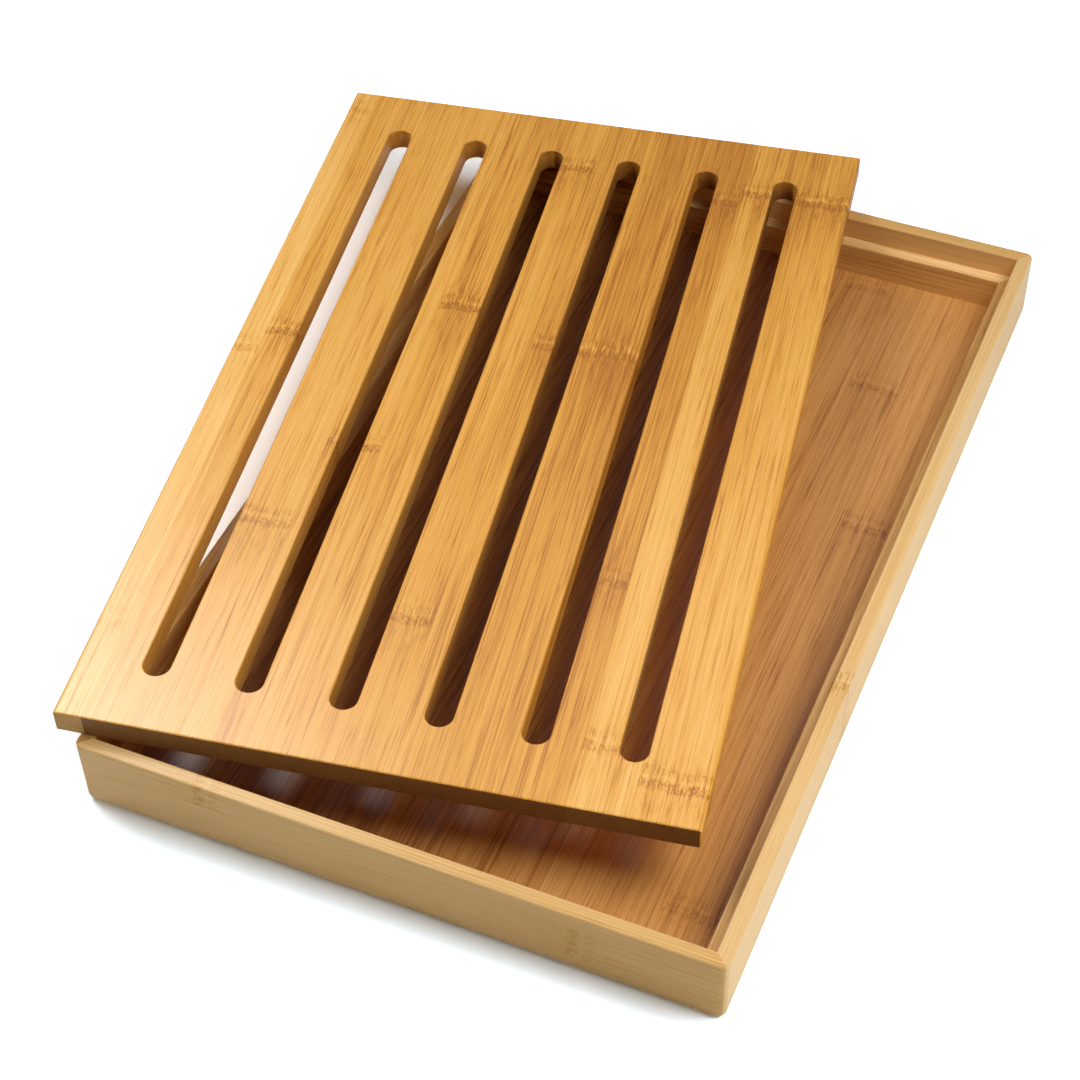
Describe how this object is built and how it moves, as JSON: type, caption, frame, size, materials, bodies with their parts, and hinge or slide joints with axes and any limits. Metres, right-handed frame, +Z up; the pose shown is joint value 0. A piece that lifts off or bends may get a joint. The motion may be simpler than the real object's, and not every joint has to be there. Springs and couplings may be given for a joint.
{
  "type": "crumb catcher bread board",
  "caption": "Slotted bamboo cutting board that lifts off a shallow mitred bamboo tray, which catches the bread crumbs falling through its slots.",
  "frame": {"origin": "middle of the footprint of the tray and the board lying askew on it, on the table that the tray's walls stand on", "axes": "+Z up, +Y along the tray's length from its front wall to its back wall, +X to the right"},
  "size_m": [0.3254, 0.4248, 0.0422],
  "materials": {
    "bamboo_tray": "satin lacquered bamboo",
    "bamboo_floor": "satin lacquered bamboo",
    "bamboo_board": "satin lacquered bamboo",
    "bamboo_pale": "satin lacquered bamboo"
  },
  "bodies": {
    "tray": {"wall_front": "bamboo_tray", "wall_right": "bamboo_tray", "wall_back": "bamboo_tray", "wall_left": "bamboo_tray", "ledge_front": "bamboo_tray", "ledge_right": "bamboo_tray", "ledge_back": "bamboo_tray", "ledge_left": "bamboo_tray", "floor_strip_01": "bamboo_floor", "floor_strip_02": "bamboo_floor", "floor_strip_03": "bamboo_floor", "floor_strip_04": "bamboo_floor", "floor_strip_05": "bamboo_floor", "floor_strip_06": "bamboo_floor", "floor_strip_07": "bamboo_floor", "floor_strip_08": "bamboo_floor", "floor_strip_09": "bamboo_floor", "floor_strip_10": "bamboo_floor", "floor_strip_11": "bamboo_floor", "floor_strip_12": "bamboo_floor"},
    "board": {"board_stave_01": "bamboo_board", "board_stave_02": "bamboo_board", "board_stave_03": "bamboo_board", "board_stave_04": "bamboo_board", "board_stave_05": "bamboo_board", "board_stave_06": "bamboo_board", "board_stave_07": "bamboo_board", "board_stave_08": "bamboo_board", "board_stave_09": "bamboo_board", "board_stave_10": "bamboo_pale", "board_stave_11": "bamboo_board"}
  },
  "joints": [
    {"name": "board_lift", "type": "slide", "parent": "tray", "child": "board", "axis": [0, 0, 1], "range_m": [0, 0.12]}
  ]
}
